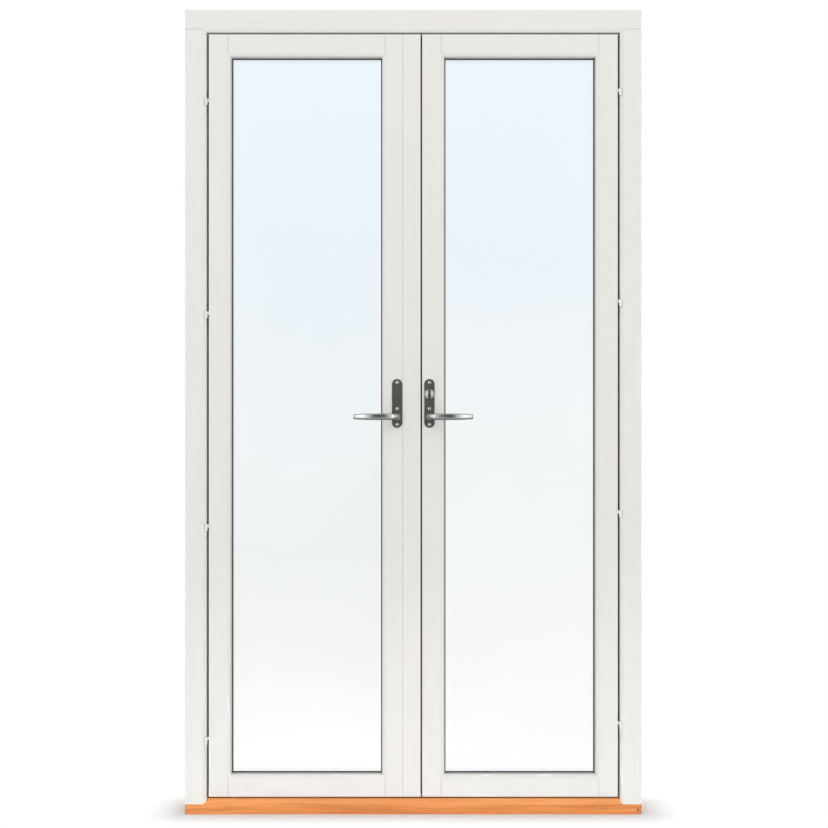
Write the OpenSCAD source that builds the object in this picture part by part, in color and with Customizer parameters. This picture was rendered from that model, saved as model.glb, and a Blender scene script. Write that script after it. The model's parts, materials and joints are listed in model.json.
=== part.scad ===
// French doors in their frame: two glazed leaves that open towards the room and close on a false mullion.
// Millimetres, +Z up, room side at -Y, origin at the middle of the underside of the sill.

/* [Frame] */
// Overall width of the frame
frame_w = 1180; // [1000:10:1600]
// Overall height of the frame
frame_h = 2080; // [1900:10:2400]
// Depth of the frame from its room face to its weather face
frame_d = 105; // [100:1:140]
// Face width of a jamb
jamb_face = 55; // [50:1:75]
// Face width of the head
head_face = 57; // [50:1:75]
// Radius of the round moulding on the inner edges of the frame
frame_mould_r = 8; // [6:0.5:9]
// Height of the front face of the sill
sill_front_h = 25; // [22:1:35]
// Height of the slope above the front face of the sill
sill_slope_h = 14; // [10:1:18]
// Depth of the slope above the front face of the sill
sill_slope_d = 10; // [8:1:20]
// Lap of the frame's stops behind the leaves
stop_lap = 12; // [11:1:16]
// Diameter of the fixing holes through the jambs
fixing_d = 10; // [6:0.5:12]
// Height of the lowest fixing hole
fixing_z = 330; // [150:5:450]
// Distance of the highest fixing hole below the top of the frame
fixing_drop = 370; // [250:5:450]

/* [Leaves] */
// Thickness of a leaf
leaf_t = 57; // [55:1:64]
// Setback of the leaves behind the room face of the frame
leaf_setback = 8; // [7:0.5:9]
// Width of stiles and rails from the leaf's edge to the sight line
member_w = 58; // [56:1:75]
// Radius of the round moulding beside the glass
leaf_mould_r = 8.5; // [6:0.5:9]
// Gap between a leaf and its jamb
hinge_gap = 5; // [4.5:0.5:6]
// Gap between the leaves and the head
head_gap = 4; // [3:0.5:6]
// Gap between the leaves and the sill
sill_gap = 4; // [3:0.5:6]
// Gap between the active leaf and the false mullion
meeting_gap = 4; // [4:0.5:6]
// Face width of the false mullion
mullion_face = 46; // [45:1:70]
// Lap of the mullion's lip over the passive leaf
mullion_lap = 4; // [3:1:7]

/* [Glazing] */
// Thickness of each pane
pane_t = 4; // [4:1:5]
// Width of the cavity between the panes
cavity_t = 12; // [10:1:14]
// Thickness of the gasket on each side of the glass
gasket_t = 3; // [2:0.5:4]
// Width of the room side gasket that shows beside the glass
inner_gasket_show = 3; // [1:0.5:4]
// Width of the weather side gasket that shows beyond the beads
outer_gasket_show = 0.5; // [0.5:0.5:2]
// Depth of the glazing rebate behind the sight line
rebate_h = 15; // [14:1:16]
// Thickness of the lip in front of the glass
lip_t = 24; // [18:1:26]

/* [Hinges] */
// Height of the lowest hinge on the passive leaf
passive_hinge_z = 190; // [120:1:250]
// Distance of the highest hinge on the passive leaf below the top of the frame
passive_hinge_drop = 237; // [150:1:300]
// Height of the lowest hinge on the active leaf
active_hinge_z = 231; // [120:1:250]
// Distance of the highest hinge on the active leaf below the top of the frame
active_hinge_drop = 211; // [150:1:300]
// Hinges on each leaf
hinge_count = 4; // [2:1:4]
// Diameter of the hinge barrel
barrel_d = 8.6; // [8:0.2:9]
// Height of the hinge barrel
barrel_h = 17; // [14:1:30]
// Diameter of the hinge pin
pin_d = 4.4; // [3:0.2:5]
// Height of the hinge wings
wing_h = 50; // [30:1:80]

/* [Handles and locks] */
// Height of the lever axes
lever_z = 1028; // [950:1:1100]
// Distance from a leaf's closing edge to its lever axis
backset = 18.8; // [18:0.2:20]
// Width of a handle plate
plate_w = 26.5; // [24:0.5:30]
// Length of a handle plate
plate_h = 126; // [120:1:140]
// Height of the lever axis above the plate's lower end
plate_drop = 28.5; // [27:0.5:32]
// Length of a lever from its axis to its tip
lever_l = 112; // [90:1:140]
// Diameter of the lever's neck
neck_d = 13; // [12.5:0.5:15]
// Height of the lever's blade in the middle
blade_h = 17; // [14:0.5:20]
// Thickness of the lever's blade in the middle
blade_t = 10.5; // [8:0.5:12]
// Height of the thumb-turn above the lever axis
turn_rise = 58.6; // [56:0.2:62]
// Diameter of the thumb-turn
turn_d = 25; // [20:0.5:26]
// Throw of the lock bolt
bolt_throw = 16; // [12:1:18]
// Throw of each shoot bolt
shoot_throw = 18; // [12:1:20]

/* [Hidden] */
$fn = 96;

// One overrun serves every cut
overrun = 1;
// Clearance of a fixed piece in its pocket
seat_clear = 0.2;
// Clearance between pieces that pass each other
run_clear = 0.3;
// Radial clearance of a pin or stem in its bore
bore_clear = 0.05;

// Seals
seal_t = 5.5;
seal_base_t = 1.5;
seal_base_w = 9;
seal_wall = 1;
seal_tongue_w = 3;
seal_tongue_d = 5;

// Frame
frame_quirk = 1.2;
stop_crown = 12;
sill_out_h = 46;
drip_w = 6;
drip_d = 5;
drip_in = 9;
fixing_count = 4;
fixing_back = 8.5;

// Leaves
leaf_quirk = 1.2;
tenon_l = 26;
tenon_t = 14;
tenon_h = 30;
tenon_edge = 7;
mullion_lip_t = 6;
mullion_seal_at = 40;
mullion_seal_out = 1.6;
mullion_seal_w = 8;

// Glazing
glass_clear = 3;
sealant_w = 4;
spacer_w = 7;
bead_back = 3;
bead_chamfer = 4;
block_l = 80;
block_end = 60;

// Hinges
pivot_in = 2;
pivot_out = 3.5;
wing_t = 2;
wing_d = 30;
knuckle_gap = 0.4;
knuckle_neck_t = 2.2;

// Handles
plate_t = 4;
plate_edge = 1.4;
ring_wall = 2.2;
ring_h = 3;
ring_edge = 0.8;
screw_rises = [89, 21, -20];
screw_head_d = 8;
screw_head_h = 1.6;
screw_slot_w = 2.2;
screw_slot_d = 1.4;
screw_d = 4;
screw_l = 16;
spindle_w = 8;
spindle_socket = 14;
neck_l = 25;
elbow_r = 18;
blade_lead = 10;
blade_trail = -17;
tip_h_share = 0.8;
tip_t_share = 0.7;
tip_round_share = 0.55;
swell_from_share = 0.4;
blade_square_share = 0.55;
ring_sides = 24;
ring_turn = 360 / ring_sides;
elbow_steps = 9;
blade_steps = 12;
tip_steps = 5;
turn_base_h = 1.6;
turn_dome_h = 4;
turn_grip_h = 11;
turn_grip_w = 9;
turn_grip_in = 0.8;
turn_grip_top_share = 0.55;
turn_stem_d = 7;

// Lock of the active leaf and gearbox of the passive leaf
case_t = 15;
case_w = 30;
case_up = 105;
case_down = 45;
forend_t = 2.5;
forend_w = 20;
forend_end = 22;
bolt_rise = 29;
bolt_t = 10;
bolt_h = 24;
bolt_l = 27;
strike_end = 30;
strike_clear = 1.2;
groove_d = 10;
groove_w = 13;
gearbox_w = 26;
gearbox_half_h = 45;
rod_start = 14;
shoot_d = 8;
shoot_tip = 40;
shoot_sink = 0.5;
keep_t = 2.5;
keep_l = 44;
keep_w = 20;
keep_clear = 0.9;
keep_room = 2;

// Places worked out from the sizes above
half_w = frame_w / 2;
room_y = -frame_d / 2;
jamb_x = half_w - jamb_face;
leaf_x1 = jamb_x - hinge_gap;
mullion_body = mullion_face - mullion_lap;
leaf_x0 = (mullion_body + meeting_gap) / 2;
leaf_y = room_y + leaf_setback;
leaf_back_y = leaf_y + leaf_t;
sill_top = sill_front_h + sill_slope_h;
leaf_z0 = sill_top + sill_gap;
leaf_z1 = frame_h - head_face - head_gap;
leaf_h = leaf_z1 - leaf_z0;
stop_from = leaf_setback + leaf_t + seal_t;
body_w = member_w - rebate_h;
rebate_x0 = leaf_x0 + body_w;
rebate_x1 = leaf_x1 - body_w;
rebate_z0 = leaf_z0 + body_w;
rebate_z1 = leaf_z1 - body_w;
pane_inner_y = leaf_y + lip_t + gasket_t;
cavity_y = pane_inner_y + pane_t;
pane_outer_y = cavity_y + cavity_t;
gasket_outer_y = pane_outer_y + pane_t;
bead_y = gasket_outer_y + gasket_t;
bead_w = rebate_h - bead_back;
pivot_x = jamb_x + pivot_in;
pivot_y = leaf_y - pivot_out;
lock_y = leaf_y + leaf_t / 2;
lever_x = leaf_x0 + backset;
plate_y = leaf_y - plate_t;
lever_y = plate_y - run_clear;
bolt_z = lever_z + bolt_rise;
mullion_x0 = -leaf_x0;
mullion_x1 = mullion_x0 + mullion_body;
rod_x = leaf_x0 + groove_d / 2;
rod_t = groove_d - 2 * run_clear;
rod_w = groove_w - 2 * run_clear;
fixing_y = leaf_back_y - fixing_back;
fixing_pitch = (frame_h - fixing_z - fixing_drop) / (fixing_count - 1);
spindle_r = spindle_w / sqrt(2) + run_clear;

// Colours
paint = [0.906, 0.906, 0.89];
rubber = [0.09, 0.09, 0.09];
steel = [0.72, 0.72, 0.7];
gunmetal = [0.36, 0.33, 0.31];
glass = [0.86, 0.94, 0.97, 0.35];
oiled_wood = [0.69, 0.47, 0.3];

// Helpers

// Draws its children on the passive side, which mirrors the active side
module passive_side() {
    mirror([1, 0, 0]) children();
}

// Quarter of a disc that fills the corner towards +u and the room
module quarter_round(r) {
    intersection() {
        circle(r);
        translate([0, -r]) square(r);
    }
}

// Box from one corner to the opposite one
module box(from, to) {
    translate(from) cube(to - from);
}

// Lays a (u, v) profile along +X, with u running down and v running back
module along_x_down(length) {
    rotate([0, 90, 0]) linear_extrude(length) children();
}

// Lays a (y, z) profile along +X
module along_x(length) {
    rotate([90, 0, 90]) linear_extrude(length) children();
}

// Cylinder along +Y
module rod_y(r, length) {
    rotate([-90, 0, 0]) cylinder(r = r, h = length);
}

// Rectangular ring between two insets from the walls of the glazing rebate
module rebate_ring(outer, inner, y, t) {
    difference() {
        box([rebate_x0 + outer, y, rebate_z0 + outer], [rebate_x1 - outer, y + t, rebate_z1 - outer]);
        box(
            [rebate_x0 + inner, y - overrun, rebate_z0 + inner],
            [rebate_x1 - inner, y + t + overrun, rebate_z1 - inner]
        );
    }
}

// Heights of one leaf's hinges, shared out between the lowest and the highest
function hinge_heights(first, drop) =
    let (pitch = (frame_h - first - drop) / (hinge_count - 1))
    [for (i = [0 : hinge_count - 1]) first + i * pitch];
passive_hinges = hinge_heights(passive_hinge_z, passive_hinge_drop);
active_hinges = hinge_heights(active_hinge_z, active_hinge_drop);

// Frame

// Section of the head and jambs, with or without the kerf for its seal: u from the outer edge inwards,
// v from the room face back
module frame_profile(face, gap, kerf) {
    flat = face - frame_mould_r;
    mould_v = frame_quirk + frame_mould_r;
    square([flat, frame_d]);
    translate([flat, mould_v]) square([frame_mould_r, frame_d - mould_v]);
    translate([flat, mould_v]) quarter_round(frame_mould_r);
    difference() {
        translate([face, stop_from]) square([gap + stop_lap, frame_d - stop_from]);
        if (kerf)
            translate([face + gap + stop_lap / 2 - seal_tongue_w / 2, stop_from])
                square([seal_tongue_w, seal_tongue_d]);
    }
}

module head_blank(kerf) {
    translate([-half_w, room_y, frame_h]) along_x_down(frame_w) frame_profile(head_face, head_gap, kerf);
}

module sill_blank(kerf) {
    top = leaf_z0 + stop_lap;
    translate([-half_w, room_y, 0]) along_x(frame_w) difference() {
        polygon([
            [0, 0],
            [frame_d, 0],
            [frame_d, sill_out_h],
            [stop_from + stop_crown, top],
            [stop_from, top],
            [stop_from, sill_top],
            [sill_slope_d, sill_top],
            [0, sill_front_h]
        ]);
        if (kerf)
            translate([stop_from, leaf_z0 + stop_lap / 2 - seal_tongue_w / 2])
                square([seal_tongue_d, seal_tongue_w]);
        translate([frame_d - drip_in - drip_w, 0]) square([drip_w, drip_d]);
    }
}

// Jamb on the active side, coped to the head and the sill, before its hinges are let in
module jamb_blank() {
    difference() {
        translate([half_w, room_y, sill_front_h])
            mirror([1, 0, 0])
            linear_extrude(frame_h - head_face + frame_mould_r - sill_front_h)
            frame_profile(jamb_face, hinge_gap, true);
        head_blank(false);
        sill_blank(false);
    }
}

// Pockets for one side's barrels and wings in the jamb
module jamb_hinge_pockets(heights) {
    back_y = pivot_y + barrel_d / 2 + run_clear + wing_d + seat_clear;
    half_h = wing_h / 2 + seat_clear;
    for (z = heights) {
        translate([pivot_x, pivot_y, z - barrel_h / 2 - run_clear])
            cylinder(d = barrel_d + 4 * run_clear, h = barrel_h + 2 * run_clear);
        box([jamb_x - overrun, pivot_y, z - half_h], [jamb_x + wing_t, back_y, z + half_h]);
    }
}

module jamb_fixing_holes() {
    for (i = [0 : fixing_count - 1])
        translate([jamb_x - overrun, fixing_y, fixing_z + i * fixing_pitch])
            rotate([0, 90, 0])
            cylinder(d = fixing_d, h = jamb_face + 2 * overrun);
}

module jamb(heights) {
    difference() {
        jamb_blank();
        jamb_hinge_pockets(heights);
        jamb_fixing_holes();
    }
}

module frame_head() {
    color(paint) difference() {
        head_blank(true);
        translate([-rod_x, lock_y, leaf_z1 + head_gap])
            cylinder(d = shoot_d + 4 * keep_clear, h = shoot_throw + keep_room);
        box(
            [-rod_x - keep_l / 2, lock_y - keep_w / 2, leaf_z1],
            [-rod_x + keep_l / 2, lock_y + keep_w / 2, leaf_z1 + head_gap + keep_t]
        );
    }
}

module frame_jamb_left() {
    color(paint) passive_side() jamb(passive_hinges);
}

module frame_jamb_right() {
    color(paint) jamb(active_hinges);
}

module sill() {
    color(oiled_wood) difference() {
        sill_blank(true);
        translate([-rod_x, lock_y, leaf_z0 - shoot_throw - keep_room])
            cylinder(d = shoot_d + 4 * keep_clear, h = shoot_throw + keep_room);
        box(
            [-rod_x - keep_l / 2, lock_y - keep_w / 2, sill_top - keep_t],
            [-rod_x + keep_l / 2, lock_y + keep_w / 2, leaf_z0]
        );
    }
}

// Hollow bulb of a seal on its flat base: u along the stop, v towards the leaf is negative
module seal_bulb() {
    bulb_r = (seal_t - run_clear) / 2;
    difference() {
        union() {
            translate([-seal_base_w / 2, -seal_base_t]) square([seal_base_w, seal_base_t]);
            translate([0, -bulb_r]) circle(bulb_r);
        }
        translate([0, -bulb_r]) circle(bulb_r - seal_wall);
    }
}

// Tongue that holds a seal in its kerf
module seal_tongue() {
    translate([-seal_tongue_w / 2 + seat_clear, 0])
        square([seal_tongue_w - 2 * seat_clear, seal_tongue_d - seat_clear]);
}

module cross_seal(z) {
    length = 2 * leaf_x1 - stop_lap + seal_base_w;
    color(rubber) translate([-length / 2, room_y + stop_from, z]) along_x_down(length) {
        seal_bulb();
        seal_tongue();
    }
}

// Side seal: its bulb meets the cross seals, its tongue ends at the stops of the head and the sill
module jamb_seal() {
    bulb_in = stop_lap / 2 + seal_base_w / 2;
    tongue_in = stop_lap + seat_clear;
    color(rubber) translate([leaf_x1 - stop_lap / 2, room_y + stop_from, leaf_z0]) {
        translate([0, 0, bulb_in]) linear_extrude(leaf_h - 2 * bulb_in) seal_bulb();
        translate([0, 0, tongue_in]) linear_extrude(leaf_h - 2 * tongue_in) seal_tongue();
    }
}

module seal_head() {
    cross_seal(leaf_z1 - stop_lap / 2);
}

module seal_sill() {
    cross_seal(leaf_z0 + stop_lap / 2);
}

module seal_left() {
    passive_side() jamb_seal();
}

module seal_right() {
    jamb_seal();
}

// Keep plate for a shoot bolt, its lower face at z
module keep(z) {
    color(steel) difference() {
        box(
            [-rod_x - keep_l / 2 + seat_clear, lock_y - keep_w / 2 + seat_clear, z],
            [-rod_x + keep_l / 2 - seat_clear, lock_y + keep_w / 2 - seat_clear, z + keep_t]
        );
        translate([-rod_x, lock_y, z - overrun])
            cylinder(d = shoot_d + 2 * keep_clear, h = keep_t + 2 * overrun);
    }
}

module keep_head() {
    keep(leaf_z1 + head_gap);
}

module keep_sill() {
    keep(sill_top - keep_t);
}

// Hinges

// Half of a barrel on its pin hole: the lower half belongs to the frame, the upper half to the leaf
module knuckle(z0) {
    difference() {
        translate([pivot_x, pivot_y, z0]) cylinder(d = barrel_d, h = (barrel_h - knuckle_gap) / 2);
        pin_bore(z0);
    }
}

module pin_bore(z0) {
    translate([pivot_x, pivot_y, z0 - overrun])
        cylinder(d = pin_d + 2 * bore_clear, h = barrel_h + 2 * overrun);
}

// Wing let into the jamb, with the lower knuckle
module frame_wing(z) {
    low = z - barrel_h / 2;
    plate_front = pivot_y + barrel_d / 2 + run_clear;
    knuckle(low);
    difference() {
        box([jamb_x, pivot_y, low], [jamb_x + wing_t, plate_front + wing_t, z - knuckle_gap / 2]);
        pin_bore(low);
    }
    box([jamb_x, plate_front, z - wing_h / 2], [jamb_x + wing_t, plate_front + wing_d, z + wing_h / 2]);
}

// Wing let into the leaf's edge, with the upper knuckle
module leaf_wing(z) {
    low = z + knuckle_gap / 2;
    high = z + barrel_h / 2;
    neck_y = leaf_y - run_clear - knuckle_neck_t;
    knuckle(low);
    difference() {
        box([leaf_x1 - wing_t, neck_y, low], [pivot_x, neck_y + knuckle_neck_t, high]);
        pin_bore(low);
    }
    box([leaf_x1 - wing_t, neck_y, low], [leaf_x1, leaf_y + 2 * wing_t, high]);
    box(
        [leaf_x1 - wing_t, leaf_y + wing_t, z - wing_h / 2],
        [leaf_x1, leaf_y + wing_t + wing_d, z + wing_h / 2]
    );
}

module frame_wings(heights) {
    color(steel) for (z = heights) frame_wing(z);
}

module leaf_wings(heights) {
    color(steel) for (z = heights) leaf_wing(z);
}

module hinge_pins(heights) {
    color(steel) for (z = heights)
        translate([pivot_x, pivot_y, z - barrel_h / 2]) cylinder(d = pin_d, h = barrel_h);
}

module hinge_wings_frame_left() {
    passive_side() frame_wings(passive_hinges);
}

module hinge_wings_frame_right() {
    frame_wings(active_hinges);
}

module hinge_pins_left() {
    passive_side() hinge_pins(passive_hinges);
}

module hinge_pins_right() {
    hinge_pins(active_hinges);
}

module passive_hinge_wings() {
    passive_side() leaf_wings(passive_hinges);
}

module active_hinge_wings() {
    leaf_wings(active_hinges);
}

// Leaf members

// Section of stiles and rails: u from the leaf's edge to the sight line, v from the room face back
module member_profile() {
    flat = member_w - leaf_mould_r;
    mould_v = leaf_quirk + leaf_mould_r;
    square([body_w, leaf_t]);
    square([flat, lip_t]);
    translate([flat, mould_v]) square([leaf_mould_r, lip_t - mould_v]);
    translate([flat, mould_v]) quarter_round(leaf_mould_r);
}

module hinge_stile_blank() {
    translate([leaf_x1, leaf_y, leaf_z0]) mirror([1, 0, 0]) linear_extrude(leaf_h) member_profile();
}

module meeting_stile_blank() {
    translate([leaf_x0, leaf_y, leaf_z0]) linear_extrude(leaf_h) member_profile();
}

// Tenons on both ends of a rail whose outer edge is at z, grown by the clearance for the mortises
module tenons(z, clear) {
    y0 = leaf_y + leaf_t / 2 - tenon_t / 2;
    for (side = [0, 1]) {
        root = side == 0 ? rebate_x0 : rebate_x1;
        tip = side == 0 ? root - tenon_l : root + tenon_l;
        box(
            [min(root, tip) - clear, y0 - clear, z + tenon_edge - clear],
            [max(root, tip) + clear, y0 + tenon_t + clear, z + tenon_edge + tenon_h + clear]
        );
    }
}

bottom_tenon_z = leaf_z0;
top_tenon_z = leaf_z1 - 2 * tenon_edge - tenon_h;

module mortises() {
    tenons(bottom_tenon_z, seat_clear);
    tenons(top_tenon_z, seat_clear);
}

module bottom_rail() {
    color(paint) {
        difference() {
            translate([rebate_x0, leaf_y, leaf_z0])
                mirror([0, 0, 1])
                along_x_down(rebate_x1 - rebate_x0)
                member_profile();
            hinge_stile_blank();
            meeting_stile_blank();
        }
        tenons(bottom_tenon_z, 0);
    }
}

module top_rail() {
    color(paint) {
        difference() {
            translate([rebate_x0, leaf_y, leaf_z1]) along_x_down(rebate_x1 - rebate_x0) member_profile();
            hinge_stile_blank();
            meeting_stile_blank();
        }
        tenons(top_tenon_z, 0);
    }
}

module hinge_stile(heights) {
    color(paint) difference() {
        hinge_stile_blank();
        mortises();
        for (z = heights) {
            box(
                [leaf_x1 - wing_t, leaf_y - overrun, z + knuckle_gap / 2 - seat_clear],
                [leaf_x1 + overrun, leaf_y + 2 * wing_t, z + barrel_h / 2 + seat_clear]
            );
            box(
                [leaf_x1 - wing_t, leaf_y + wing_t, z - wing_h / 2 - seat_clear],
                [leaf_x1 + overrun, leaf_y + wing_t + wing_d + seat_clear, z + wing_h / 2 + seat_clear]
            );
        }
    }
}

// Bores for the spindle and the plate's screws
module handle_bores() {
    translate([lever_x, leaf_y - overrun, lever_z])
        rod_y(spindle_r, leaf_t / 2 + case_t / 2 + overrun + spindle_w);
    for (rise = screw_rises)
        translate([lever_x, leaf_y - overrun, lever_z + rise])
            rod_y(screw_d / 2 + bore_clear, screw_l - plate_t + overrun + seat_clear);
}

// Block of the lock case, grown by the clearance of its pocket
module case_body(clear) {
    box(
        [leaf_x0 + forend_t - clear, lock_y - case_t / 2 - clear, lever_z - case_down - clear],
        [leaf_x0 + forend_t + case_w + clear, lock_y + case_t / 2 + clear, lever_z + case_up + clear]
    );
}

// Plate on the closing edge over the lock case, grown sideways by the clearance of its recess
module forend_body(clear) {
    half = forend_w / 2 + clear;
    box(
        [leaf_x0 - clear, lock_y - half, lever_z - case_down - forend_end - clear],
        [leaf_x0 + forend_t, lock_y + half, lever_z + case_up + forend_end + clear]
    );
}

module active_meeting_stile() {
    color(paint) difference() {
        meeting_stile_blank();
        mortises();
        handle_bores();
        translate([lever_x, leaf_y - overrun, lever_z + turn_rise])
            rod_y(turn_stem_d / 2 + run_clear, leaf_t / 2);
        case_body(seat_clear);
        forend_body(seat_clear);
    }
}

module passive_meeting_stile() {
    color(paint) passive_side() difference() {
        meeting_stile_blank();
        mortises();
        handle_bores();
        box(
            [leaf_x0 - overrun, leaf_y - overrun, leaf_z0 - overrun],
            [leaf_x0 + mullion_lap, leaf_y + mullion_lip_t, leaf_z1 + overrun]
        );
        box(
            [leaf_x0 - overrun, lock_y - groove_w / 2, leaf_z0 - overrun],
            [leaf_x0 + groove_d, lock_y + groove_w / 2, leaf_z1 + overrun]
        );
        box(
            [leaf_x0, lock_y - case_t / 2 - seat_clear, lever_z - gearbox_half_h - seat_clear],
            [
                leaf_x0 + groove_d + gearbox_w + seat_clear,
                lock_y + case_t / 2 + seat_clear,
                lever_z + gearbox_half_h + seat_clear
            ]
        );
    }
}

module passive_hinge_stile() {
    passive_side() hinge_stile(passive_hinges);
}

module active_hinge_stile() {
    hinge_stile(active_hinges);
}

module passive_top_rail() {
    passive_side() top_rail();
}

module active_top_rail() {
    top_rail();
}

module passive_bottom_rail() {
    passive_side() bottom_rail();
}

module active_bottom_rail() {
    bottom_rail();
}

// False mullion

module mullion() {
    color(paint) difference() {
        union() {
            box([mullion_x0, leaf_y, leaf_z0], [mullion_x1, leaf_back_y, leaf_z1]);
            box([mullion_x0 - mullion_lap, leaf_y, leaf_z0], [mullion_x0, leaf_y + mullion_lip_t, leaf_z1]);
        }
        box(
            [mullion_x1 - seal_tongue_d, leaf_y + mullion_seal_at - seal_tongue_w / 2, leaf_z0 - overrun],
            [mullion_x1 + overrun, leaf_y + mullion_seal_at + seal_tongue_w / 2, leaf_z1 + overrun]
        );
        strike_body(seat_clear);
        strike_hole(leaf_x0 - bolt_throw - keep_room);
    }
}

// Plate in the mullion's edge, grown sideways by the clearance of its recess
module strike_body(clear) {
    half_w = forend_w / 2 + clear;
    half_h = bolt_h / 2 + strike_end + clear;
    box(
        [mullion_x1 - forend_t, lock_y - half_w, bolt_z - half_h],
        [mullion_x1 + clear, lock_y + half_w, bolt_z + half_h]
    );
}

// Room for the thrown bolt from x out past the mullion's edge
module strike_hole(x) {
    half_w = bolt_t / 2 + strike_clear;
    half_h = bolt_h / 2 + strike_clear;
    box([x, lock_y - half_w, bolt_z - half_h], [mullion_x1 + overrun, lock_y + half_w, bolt_z + half_h]);
}

// Low strip with a round crown and a tongue in the mullion's edge
module mullion_seal() {
    crown_r = mullion_seal_w / 2;
    color(rubber) translate([mullion_x1, leaf_y + mullion_seal_at, leaf_z0]) linear_extrude(leaf_h) {
        intersection() {
            translate([mullion_seal_out - crown_r, 0]) circle(crown_r);
            translate([0, -crown_r]) square([mullion_seal_out, mullion_seal_w]);
        }
        translate([-seal_tongue_d + seat_clear, -seal_tongue_w / 2 + seat_clear])
            square([seal_tongue_d - seat_clear, seal_tongue_w - 2 * seat_clear]);
    }
}

module strike_plate() {
    color(steel) difference() {
        strike_body(0);
        strike_hole(mullion_x1 - forend_t - overrun);
    }
}

// Glazing

module pane(y) {
    color(glass) box(
        [rebate_x0 + glass_clear, y, rebate_z0 + glass_clear],
        [rebate_x1 - glass_clear, y + pane_t, rebate_z1 - glass_clear]
    );
}

module spacer() {
    edge = glass_clear + sealant_w;
    color(steel) rebate_ring(edge, edge + spacer_w, cavity_y, cavity_t);
}

module sealant() {
    color(rubber) rebate_ring(glass_clear, glass_clear + sealant_w, cavity_y, cavity_t);
}

module inner_gasket() {
    color(rubber) rebate_ring(glass_clear, rebate_h + inner_gasket_show, leaf_y + lip_t, gasket_t);
}

module outer_gasket() {
    color(rubber) rebate_ring(glass_clear, bead_w + outer_gasket_show, gasket_outer_y, gasket_t);
}

// Section of a glazing bead: u from the rebate wall inwards, v from the gasket back
module bead_profile() {
    depth = leaf_back_y - bead_y;
    polygon([
        [0, 0],
        [bead_w, 0],
        [bead_w, depth - bead_chamfer],
        [bead_w - bead_chamfer, depth],
        [0, depth]
    ]);
}

module beads() {
    length = rebate_x1 - rebate_x0;
    z0 = rebate_z0 + bead_w + seat_clear;
    z1 = rebate_z1 - bead_w - seat_clear;
    color(paint) {
        translate([rebate_x0, bead_y, rebate_z1]) along_x_down(length) bead_profile();
        translate([rebate_x0, bead_y, rebate_z0]) mirror([0, 0, 1]) along_x_down(length) bead_profile();
        translate([rebate_x0, bead_y, z0]) linear_extrude(z1 - z0) bead_profile();
        translate([rebate_x1, bead_y, z0]) mirror([1, 0, 0]) linear_extrude(z1 - z0) bead_profile();
    }
}

module setting_blocks() {
    unit_t = 2 * pane_t + cavity_t;
    color(rubber) for (x = [rebate_x0 + block_end, rebate_x1 - block_end - block_l])
        box([x, pane_inner_y, rebate_z0], [x + block_l, pane_inner_y + unit_t, rebate_z0 + glass_clear]);
}

module passive_pane_inner() {
    passive_side() pane(pane_inner_y);
}

module active_pane_inner() {
    pane(pane_inner_y);
}

module passive_pane_outer() {
    passive_side() pane(pane_outer_y);
}

module active_pane_outer() {
    pane(pane_outer_y);
}

module passive_spacer() {
    passive_side() spacer();
}

module active_spacer() {
    spacer();
}

module passive_sealant() {
    passive_side() sealant();
}

module active_sealant() {
    sealant();
}

module passive_gasket_inner() {
    passive_side() inner_gasket();
}

module active_gasket_inner() {
    inner_gasket();
}

module passive_gasket_outer() {
    passive_side() outer_gasket();
}

module active_gasket_outer() {
    outer_gasket();
}

module passive_beads() {
    passive_side() beads();
}

module active_beads() {
    beads();
}

module passive_setting_blocks() {
    passive_side() setting_blocks();
}

module active_setting_blocks() {
    setting_blocks();
}

// Handles

// Round-ended slab on the leaf's face with a bevelled front edge
module plate_body() {
    r = plate_w / 2;
    z0 = lever_z - plate_drop + r;
    z1 = lever_z - plate_drop + plate_h - r;
    straight = plate_t - plate_edge;
    translate([lever_x, leaf_y, z0]) linear_extrude(z1 - z0) polygon([
        [-r, 0],
        [-r, -straight],
        [-r + plate_edge, -plate_t],
        [r - plate_edge, -plate_t],
        [r, -straight],
        [r, 0]
    ]);
    for (z = [z0, z1])
        translate([lever_x, leaf_y, z]) rotate([90, 0, 0]) {
            cylinder(r = r, h = straight);
            translate([0, 0, straight]) cylinder(r1 = r, r2 = r - plate_edge, h = plate_edge);
        }
}

module handle_plate(has_turn) {
    color(gunmetal) difference() {
        plate_body();
        translate([lever_x, plate_y - overrun, lever_z]) rod_y(spindle_r, plate_t + 2 * overrun);
        for (rise = screw_rises)
            translate([lever_x, plate_y - overrun, lever_z + rise])
                rod_y(screw_d / 2 + bore_clear, plate_t + 2 * overrun);
        if (has_turn)
            translate([lever_x, plate_y - overrun, lever_z + turn_rise])
                rod_y(turn_stem_d / 2 + bore_clear, plate_t + 2 * overrun);
    }
}

// Turned ring on the plate's face, in which the lever's neck turns
module lever_ring() {
    bore_d = neck_d + 2 * bore_clear;
    ring_d = bore_d + 2 * ring_wall;
    color(steel) translate([lever_x, plate_y, lever_z]) rotate([90, 0, 0]) difference() {
        union() {
            cylinder(d = ring_d, h = ring_h - ring_edge);
            translate([0, 0, ring_h - ring_edge])
                cylinder(d1 = ring_d, d2 = ring_d - 2 * ring_edge, h = ring_edge);
        }
        translate([0, 0, -overrun]) cylinder(d = bore_d, h = ring_h + 2 * overrun);
    }
}

// Slotted screws with low domed heads on the plate's face
module plate_screws() {
    head_r = screw_head_d / 2;
    dome_r = (head_r * head_r + screw_head_h * screw_head_h) / (2 * screw_head_h);
    color(steel) for (rise = screw_rises)
        translate([lever_x, plate_y, lever_z + rise]) {
            rod_y(screw_d / 2, screw_l);
            difference() {
                intersection() {
                    translate([0, dome_r - screw_head_h, 0]) sphere(dome_r);
                    translate([0, -screw_head_h, 0]) rod_y(head_r, screw_head_h);
                }
                box(
                    [-screw_slot_w / 2, -screw_head_h - overrun, -head_r],
                    [screw_slot_w / 2, screw_slot_d - screw_head_h, head_r]
                );
            }
        }
}

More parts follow.
